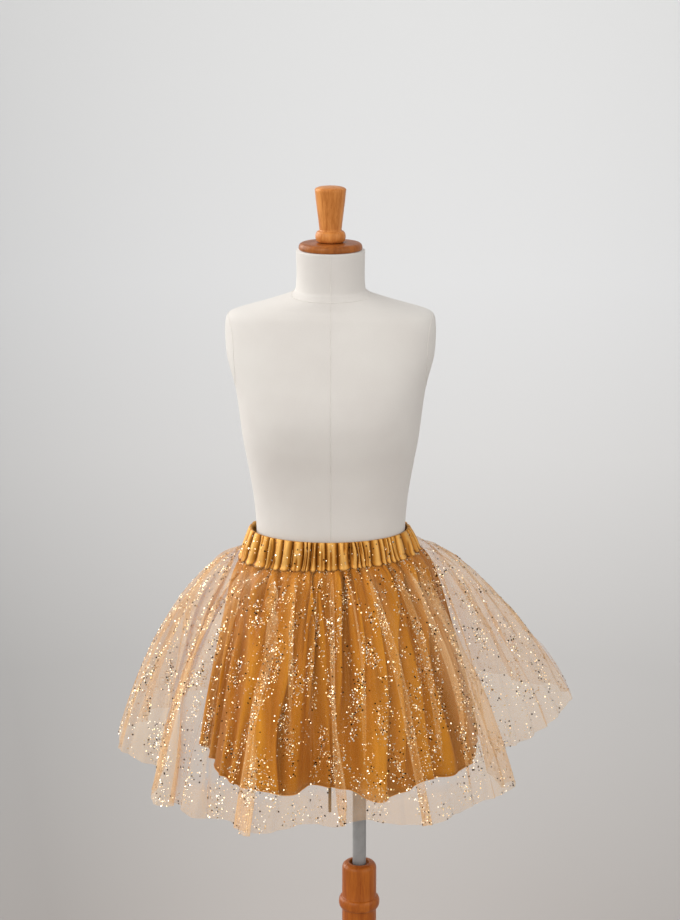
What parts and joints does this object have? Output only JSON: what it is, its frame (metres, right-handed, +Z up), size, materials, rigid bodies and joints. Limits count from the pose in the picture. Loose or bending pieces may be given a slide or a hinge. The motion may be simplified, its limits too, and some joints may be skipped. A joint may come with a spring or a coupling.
{
  "type": "tutu skirt on a dress form stand",
  "caption": "Gathered costume tutu with an elastic waistband and satin under sheer glitter tulle, on a limbless dress form with a turned wooden stand",
  "frame": {"origin": "on the floor, below the middle of the object's outline seen from above; the form's axis is 22 mm towards -X and the pole's axis 24 mm towards +X", "axes": "+Z up, -Y is the front of the garment, +X is to the right as seen from the front"},
  "size_m": [0.7349, 0.6807, 1.5761],
  "materials": {
    "gold_satin": "satin sheen",
    "glitter_tulle": "sheer net with gold glitter",
    "ivory_linen": "matt woven",
    "turned_wood": "varnished",
    "grey_steel": "satin grey",
    "dark_steel": "dark brown"
  },
  "bodies": {
    "root": {"waistband": "gold_satin", "satin_front": "gold_satin", "satin_back": "gold_satin", "tulle_front": "glitter_tulle", "tulle_back": "glitter_tulle", "form": "ivory_linen", "cap_disc": "turned_wood", "cap_finial": "turned_wood", "hanging_rod": "dark_steel", "pole": "grey_steel", "column": "turned_wood", "leg_1": "turned_wood", "leg_2": "turned_wood", "leg_3": "turned_wood"}
  },
  "joints": []
}
